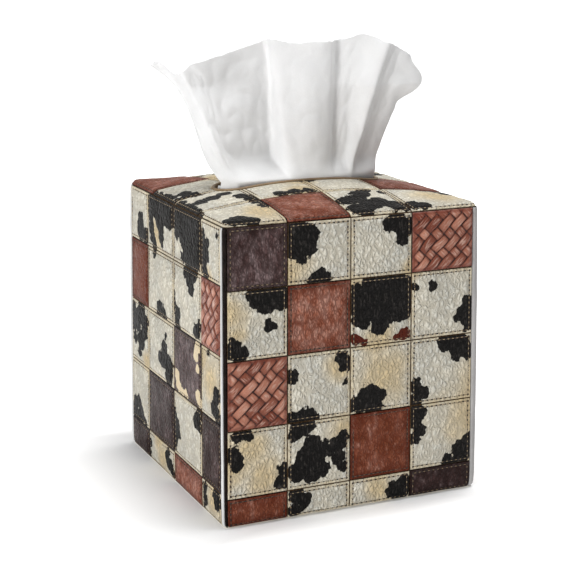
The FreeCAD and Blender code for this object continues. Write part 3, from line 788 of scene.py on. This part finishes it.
# Tapes: where their edges stand at the foot and at the top, how far they swell, and their cloth
TAPES = {
    "front_left": ((-65.88, -63.7), (-65.88, -64.9), 0.3, TAPE),
    # The front right tape is the white tape, painted grey for its shade
    "front_right": ((60.85, 65.88), (60.85, 65.88), 0.5, PAINTED_SHADE_TAPE),
    "back_left": ((63.1, 65.88), (63.1, 65.88), 0.5, TAPE),
    "back_right": ((-65.88, -63.1), (-65.88, -63.1), 0.5, TAPE),
}
for corner, (foot, head, swelling, cloth) in TAPES.items():
    wall = corner.split("_")[0]
    corner_strip(f"{corner}_tape_strip", wall, foot, head, swelling, cloth, "plain_tape", f"{corner}_tape")
BAND_FOOT, BAND_HEAD, BAND_SWELL = (-63.4, -62.4), (-64.6, -62.4), 0.2
corner_strip(
    "front_edge_leather", "front", BAND_FOOT, BAND_HEAD, BAND_SWELL, BLACK, "dark_leather", "front_edge_band"
)

# Foam: its space behind the leather, how much thinner it is than its solid, its height above the hem band,
# how far it goes past the flats, and how soon its rows fan out along the slot
FOAM_GAP, FOAM_LESS, FOAM_FOOT = 0.1, 0.3, 0.6
FOAM_PAST = {"front": 3, "back": 3, "left": -1, "right": -1, "top": 1.5}
FOAM_FAN = 2.2


def padding(name, rows, node):
    """Foam layer behind the leather, as a closed slab."""
    piece = Piece(name)
    thick = PAD - FOAM_LESS
    outer = [[piece.point(p - n * (SKIN + FOAM_GAP)) for p, n in row] for row in rows]
    inner = [[piece.point(p - n * (SKIN + FOAM_GAP + thick)) for p, n in row] for row in rows]
    piece.grid(outer)
    piece.grid([row[::-1] for row in inner])
    for a, b in ((outer[0][::-1], inner[0][::-1]), (outer[-1], inner[-1])):
        piece.grid([a, b])
    for k in (0, -1):
        a, b = [row[k] for row in outer], [row[k] for row in inner]
        piece.grid([a, b] if k == 0 else [b, a])
    made = piece.make(FOAM, "cover", "foam_pad", node)


for panel in PANELS:
    at = wall_at(panel)
    reach = FLAT + FOAM_PAST[panel]
    levels = steps(HEM_BAND + FOAM_FOOT, SIDE - EDGE, 50)
    padding(f"{panel}_foam", [[at(u, z) for u in steps(-reach, reach, 50)] for z in levels], f"{panel}_pad")

# The top's foam runs from the slot out to the fold, so its rows go round the slot
ring = []
straight, bound = (SLOT_LENGTH - SLOT_WIDTH) / 2, SLOT_WIDTH / 2 + BINDING
for turn in steps(0, 2 * math.pi, 144):
    ahead, aside = math.cos(turn), math.sin(turn)
    start = Vector((straight * max(-1, min(1, FOAM_FAN * ahead)) + bound * ahead, bound * aside))
    end = Vector((ahead, aside)) * ((FLAT + FOAM_PAST["top"]) / max(abs(ahead), abs(aside)))
    ring.append([top_at(*start.lerp(end, t)) for t in steps(0, 1, 30)])
padding("top_foam", ring, "top_pad")


# Calico: thickness, how deep it lies behind the inner faces, and height and length of its ripple
CALICO = 0.5
SIDE_DEPTH, TOP_DEPTH = 0.4, 0.3
RIPPLE, RIPPLE_LENGTH = 0.1, 13


def thicken(made, name, millimetres):
    """Give a sheet its thickness, half to each side."""
    layer = made.modifiers.new(name, "SOLIDIFY")
    layer.thickness = millimetres * MM
    layer.offset = 0


def lining_panel(name, corner, along, up, node):
    """Calico glued inside a board: a thin closed sheet that ripples a little."""
    piece = Piece(name)
    normal = along.cross(up).normalized()
    shares = steps(0, 1, 40)
    rows = []
    for j in shares:
        places = [corner + along * i + up * j for i in shares]
        rows.append([piece.point(p + normal * (RIPPLE * noise.noise(p / RIPPLE_LENGTH))) for p in places])
    piece.grid(rows)
    made = piece.make(LINING, "cover", "lining_cloth", node)
    thicken(made, "cloth", CALICO)


INNER = HALF - WALL + SIDE_DEPTH
RISE = CEILING - HEM_BAND
for panel, (right, out) in PANELS.items():
    right, out = Vector(right), Vector(out)
    corner = out * INNER - right * INNER + UP * HEM_BAND
    along = right * (2 * INNER)
    lining_panel(f"{panel}_calico", corner, along, UP * RISE, f"{panel}_lining")


def swept(piece, line, profile):
    """Carry a closed profile round a closed line of (point, outward, upward)."""
    rings = []
    for place, outward, upward in line + line[:1]:
        ring = [piece.point(place + outward * a + upward * b) for a, b in profile]
        rings.append(ring + ring[:1])
    piece.grid(rings)


def slot_line(length, width, count):
    """Line round the slot, on the crown: a straight side and a round end, then both turned half round."""
    straight, bound = (length - width) / 2, width / 2
    half = 2 * straight + math.pi * bound
    line = []
    for s in steps(0, 2 * half, count)[:-1]:
        turn = max(0, s % half - 2 * straight) / bound
        out = Vector((math.sin(turn), -math.cos(turn), 0))
        place = Vector((min(s % half - straight, straight), 0, 0)) + out * bound
        if s >= half:
            place, out = -place, -out
        crown = top_at(place.x, place.y)[0]
        line.append((Vector((place.x, place.y, crown.z)), out, UP))
    return line


# Binding: a folded tape that lines the slot and rolls over its rim
piping = Piece("slot_piping")
rim = [(1.0, -0.1), (0.75, 0.4), (0, 0.6), (-0.55, 0.35), (-0.6, -0.2)]
lining_of_slot = [(-0.55, -6), (-0.5, -12.5), (0.2, -12.5), (0.4, -5), (0.6, -0.6)]
swept(piping, slot_line(SLOT_LENGTH + BINDING, SLOT_WIDTH + BINDING, 260), rim + lining_of_slot)
piping.make(PIPING, "cover", "plain_tape", "slot_binding")

# Lining of the top, with the slot cut out
ceiling = Piece("top_calico")
rows = []
places = steps(-INNER, INNER, 60)
for y in places:
    row = []
    for x in places:
        off = slot_distance(x, y, BOUND_LENGTH, BOUND_WIDTH)
        ripple = RIPPLE * noise.noise(Vector((x, y, 0)) / RIPPLE_LENGTH)
        row.append(ceiling.point(Vector((x, y, CEILING + TOP_DEPTH + ripple)), off=off))
    rows.append(row)
ceiling.grid(rows, lambda face: all(ceiling.marks["off"][i] > 0 for i in face))
made = ceiling.make(LINING, "cover", "lining_cloth", "top_lining")
thicken(made, "cloth", CALICO)

# Band under the hem: cloth that covers the edges of the boards
hem = Piece("hem_cloth")
line = []
for panel in ("front", "right", "back", "left"):
    at = wall_at(panel)
    for u in steps(-FLAT, FLAT + EDGE * math.pi / 2, 60)[:-1]:
        place, normal = at(u, HEM)
        line.append((Vector((place.x, place.y, 0)), Vector((normal.x, normal.y, 0)), UP))
swept(hem, line, [(-1.1, 0.35), (-2.6, 0.0), (-6.4, 0.0), (-7.1, 0.4), (-7.1, 1.1), (-1.4, 1.15)])
hem.make(LINING, "cover", "lining_cloth", "hem_band")

# Folded tissues in the carton: leaves with a soft nose at one end, front and back by turns
leaves = Piece("folded_tissues")
LEAVES, STACK_LOW, STACK_HIGH, STACK_HALF = 16, 0.6, 94.6, 55.5
LEAF_SHORT, LEAF_FULL, LEAF_RIPPLE = 1.2, 0.94, 0.35
leaf = (STACK_HIGH - STACK_LOW) / LEAVES
for n in range(LEAVES):
    side = 1 if n % 2 else -1
    short = LEAF_SHORT * noise.noise(Vector((n, 3.3, 0))) ** 2
    z = STACK_LOW + leaf * (n + 0.5)
    outline = []
    for k in range(13):
        turn = math.pi * (k / 12 - 0.5)
        nose = STACK_HALF - leaf / 2 + leaf / 2 * math.cos(turn) - short
        outline.append((nose, leaf / 2 * math.sin(turn)))
    outline += [(y, leaf / 2) for y in steps(STACK_HALF - leaf, 1 - STACK_HALF, 14)]
    outline += [(y, -leaf / 2) for y in steps(1 - STACK_HALF, STACK_HALF - leaf, 14)]
    rings = []
    for x in steps(-STACK_HALF, STACK_HALF, 30):
        ring = []
        for y, h in outline:
            ripple = LEAF_RIPPLE * noise.noise(Vector((x / 17, y / 19, n * 2.7))) * (0.3 + 0.7 * n / LEAVES)
            ring.append(leaves.point(Vector((x, side * y, z + h * LEAF_FULL + ripple))))
        rings.append(ring + ring[:1])
    leaves.grid(rings if side < 0 else [r[::-1] for r in rings])
    for ring in (rings[0], rings[-1]):
        leaves.faces.append(tuple(ring[:-1]))
leaves.make(TISSUE, "refill", "tissue_paper", "tissue_stack")

# Raised tissue: columns across the sheet, each with its place in the slot and how far it stands to the
# front there, then its place and height at the upper edge and how far it stands to the front there
FAN = (
    (-40.5, 0.5, -70.2, 200.6, -2.0), (-39.4, 1.5, -65.5, 202.2, 0.0), (-37.2, 3.5, -58.2, 197.2, 5.0),
    (-34.4, 5.0, -54.4, 198.4, 10.5), (-31.4, 1.0, -50.5, 201.6, 10.5), (-27.0, -3.5, -45.0, 203.4, 9.5),
    (-20.0, -7.0, -34.0, 206.6, 5.0), (-13.0, -9.0, -22.5, 210.2, -0.5), (-8.6, -9.2, -15.0, 212.6, -4.0),
    (-5.8, 4.0, -11.0, 213.0, 2.5), (0.0, 7.5, -1.0, 211.6, 5.0), (7.0, 8.5, 8.0, 212.6, 6.5),
    (14.0, 5.5, 15.8, 212.6, 5.6), (16.8, 2.0, 19.0, 213.0, 1.0), (19.6, 2.0, 24.0, 213.6, 1.0),
    (22.6, 2.5, 32.0, 215.6, 2.0), (25.0, 6.0, 43.0, 212.0, 5.5), (27.4, 3.5, 46.0, 210.8, 2.5),
    (31.5, 1.5, 49.6, 208.4, 0.0), (36.0, 0.5, 53.2, 206.0, -2.0), (40.5, -1.0, 57.0, 201.0, -6.0),
)
# Right border of the sheet, from the slot up: drawn in, then out round a drooping ear
EAR_LINE = (40.5, 41.5, 42.6, 43.7, 44.8, 46.0, 47.2, 48.6, 50.0, 56.6, 60.2, 59.6, 55.0)
EAR = [(across,) for across in EAR_LINE]
EAR_SHARE = 0.05
# Where the tissue leaves the cover, its lowest point in the carton, how far it turns towards the viewer and
# at what height it has turned, its gathers, and how near and how firmly it lies to the slot's front rim
SLOT_TOP = SIDE + CROWN
TAIL_LOW = 97.0
TURN, SHOULDER = math.radians(-24), 44.0
GATHERS, GATHER_DEPTH = 13, 3.4
LIP, LIP_HOLD, LIP_REACH = SLOT_WIDTH / 2 - 0.35, 0.97, 5.5
# Valley left of the pleat: its middle and width across the sheet; thickness of the paper, and radius of
# the loop at its lowest point
VALLEY, VALLEY_WIDTH = 0.31, 0.11
PAPER = 0.15
LOOP = 1.7


def through(rows, t):
    """Smooth line through rows of numbers, t from 0 to 1."""
    s = t * (len(rows) - 1)
    i = max(0, min(len(rows) - 2, int(s)))
    f = s - i
    near = [rows[max(0, min(len(rows) - 1, i + k))] for k in (-1, 0, 1, 2)]
    found = []
    for a, b, c, d in zip(*near):
        bend = (2 * a - 5 * b + 4 * c - d) * f * f + (3 * b - a - 3 * c + d) * f ** 3
        found.append(b + 0.5 * ((c - a) * f + bend))
    return found


def raised(t, s):
    """Point of the raised tissue: t across it, s in mm up from the slot, or down into the carton."""
    base, base_depth, top, height, top_depth = through(FAN, t)
    share = max(0, s) / (height - SLOT_TOP)
    border = abs(2 * t - 1) ** 4
    # The side borders bow out above the slot and in below the upper corners
    spread = share + border * share * (0.27 - 2.3 * share + 2.03 * share * share)
    across = base + (top - base) * spread
    ear = math.exp(-((1 - t) / EAR_SHARE) ** 2)
    across += (through(EAR, min(1, share))[0] - across) * ear
    gathered = GATHER_DEPTH * max(0, min(1, -(s + 3) / 12))
    forward = base_depth + (top_depth - base_depth) * share ** 0.85
    rim = math.sqrt(max(1, LIP ** 2 - max(0, abs(base) - SLOT_LENGTH / 2 + LIP) ** 2))
    valley = math.exp(-((t - VALLEY) / VALLEY_WIDTH) ** 2)
    forward += (rim - 0.4 * rim * border - forward) * LIP_HOLD * math.exp(-(s / LIP_REACH) ** 2)
    forward += gathered * math.sin(2 * math.pi * GATHERS * t + 1.8 * math.sin(7 * t))
    # Ridged creases, broad and small, that are deeper in the valley, over soft waves
    if share > 0:
        broad = abs(noise.noise(Vector((t * 11 + share * 2, share * 3.2 - t * 3, 2.2))))
        small = abs(noise.noise(Vector((t * 25 - share * 3, share * 7 + t * 4, 6.4))))
        creased = (0.9 + 0.7 * valley) * (broad - 0.2) + (0.5 + 0.5 * valley) * (small - 0.2)
        soft = noise.noise(Vector((t * 17, share * 5.2, 5.1)))
        soft += 0.5 * noise.noise(Vector((t * 40, share * 12, 1.7)))
        forward += min(1, share * 4) * (creased + 0.5 * soft)
    turn = TURN * min(1, max(0, s) / SHOULDER)
    facing = Vector((math.sin(turn), -math.cos(turn), 0))
    along = Vector((math.cos(turn), math.sin(turn), 0))
    frayed = 0.5 * noise.noise(Vector((t * 60, 0, 8.8))) * share ** 6
    return along * across + facing * forward + UP * (SLOT_TOP + s + frayed)


sheet = Piece("raised_tissue_sheet")
rows = []
across = steps(0, 1, 300)
depth = SLOT_TOP - TAIL_LOW
back_layer = Vector((0, 2 * LOOP, 0))
for k in steps(0, 1, 22):
    rows.append([raised(t, -(2 + (depth - 2) * k)) + back_layer for t in across])
for k in steps(0, 1, 4)[1:-1]:
    turn = math.pi * k
    hook = Vector((0, LOOP + LOOP * math.cos(turn), -LOOP * math.sin(turn)))
    rows.append([raised(t, -depth) + hook for t in across])
for k in steps(0, 1, 24)[:-1]:
    rows.append([raised(t, -depth * (1 - k)) for t in across])
heights = [through(FAN, t)[3] - SLOT_TOP for t in across]
for k in steps(0, 1, 80):
    rows.append([raised(t, k * height) for t, height in zip(across, heights)])
sheet.grid([[sheet.point(p) for p in row] for row in rows])
tissue = sheet.make(TISSUE, "tissue", "tissue_paper", "raised_tissue")
thicken(tissue, "paper", PAPER)

# Hard pieces that keep their solids
HARD = {f"{panel}_board": BOARD for panel in LAYOUTS}
HARD["carton_shell"] = CARTON
for name, finish_of in HARD.items():
    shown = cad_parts[name].data.materials
    shown.clear()
    shown.append(finish_of)


def sight(put):
    """1 for a ray that shows a thing to the camera, straight, mirrored or through glass, and 0 for light."""
    path = put("LightPath")
    seen = path["Is Camera Ray"]
    for other in ("Is Glossy Ray", "Is Transmission Ray"):
        seen = put("Math", {0: seen, 1: path[other]}, operation="MAXIMUM")["Value"]
    return seen


# Pale floor that keeps the shadow; what the camera sees of it goes to white away from the object, between
# these distances in metres to the sides, and to the front and back
FADE_ASIDE, FADE_AHEAD = (0.045, 0.2), (0.067, 0.11)
WHITE = (1, 1, 1, 1)
ground, put, coords = material("white_studio_floor")
away = put("VectorMath", {0: coords}, operation="ABSOLUTE")["Vector"]
away = put("SeparateXYZ", {0: away})
aside = put("MapRange", {0: away["X"], 1: FADE_ASIDE[0], 2: FADE_ASIDE[1]})["Result"]
ahead = put("MapRange", {0: away["Y"], 1: FADE_AHEAD[0], 2: FADE_AHEAD[1]}, **SMOOTH)["Result"]
away = put("Math", {0: aside, 1: ahead}, operation="MAXIMUM")["Value"]
white = put("Math", {0: sight(put), 1: away}, operation="MULTIPLY")["Value"]
cloud = put("TexNoise", {"Vector": coords, "Scale": per(400)})["Fac"]
paint = put("Mix", {0: cloud, 6: linear("#f4f4f4"), 7: linear("#f8f8f8")}, **COLOURS)[2]
surface = {"Base Color": paint, "Roughness": 0.9, "Specular IOR Level": 0.1}
surface.update({"Emission Color": WHITE, "Emission Strength": white})
surface = put("BsdfPrincipled", surface)["BSDF"]
put("OutputMaterial", {"Surface": surface})
mesh = bpy.data.meshes.new("studio_floor")
mesh.from_pydata([(-6, -6, 0), (6, -6, 0), (6, 6, 0), (-6, 6, 0)], [], [(0, 1, 2, 3)])
mesh.materials.append(ground)
floor = placed("studio_floor", mesh)

# White studio round the object
world = bpy.data.worlds.new("white_studio")
put = nodes_of(world)
studio = put("Background", {"Color": WHITE, "Strength": 0.27})["Background"]
white = put("Background", {"Color": WHITE, "Strength": 1.0})["Background"]
both = put("MixShader", {0: sight(put), 1: studio, 2: white})["Shader"]
put("OutputWorld", {"Surface": both})
bpy.context.scene.world = world


def softbox(name, place, target, size, power):
    """Large soft lamp that faces a point."""
    lamp = bpy.data.lights.new(name, "AREA")
    lamp.shape, lamp.size, lamp.size_y, lamp.energy = "RECTANGLE", size[0], size[1], power
    made = placed(name, lamp)
    made.location = place
    made.rotation_mode = "QUATERNION"
    made.rotation_quaternion = (Vector(target) - Vector(place)).to_track_quat("-Z", "Y")


softbox("left_softbox", (-1.3, -0.6, 0.32), (0, 0, 0.1), (0.5, 0.5), 12.0)
softbox("overhead_softbox", (0.28, -0.05, 1.25), (0, 0, 0.1), (0.7, 0.7), 12.5)

# Camera where the photograph was taken from
camera = placed("camera", bpy.data.cameras.new("camera"))
camera.data.sensor_width = 36
camera.data.lens = 91.92
azimuth, elevation = math.radians(-24.3), math.radians(13.5)
level = Vector((math.sin(azimuth), -math.cos(azimuth), 0))
back = level * math.cos(elevation) + UP * math.sin(elevation)
camera.location = (-0.2935, -0.6383, 0.2610)
camera.rotation_mode = "QUATERNION"
camera.rotation_quaternion = (-back).to_track_quat("-Z", "Y")
camera.data.clip_start, camera.data.clip_end = 0.01, 50
bpy.context.scene.camera = camera

bpy.context.scene.view_settings.view_transform = "Standard"
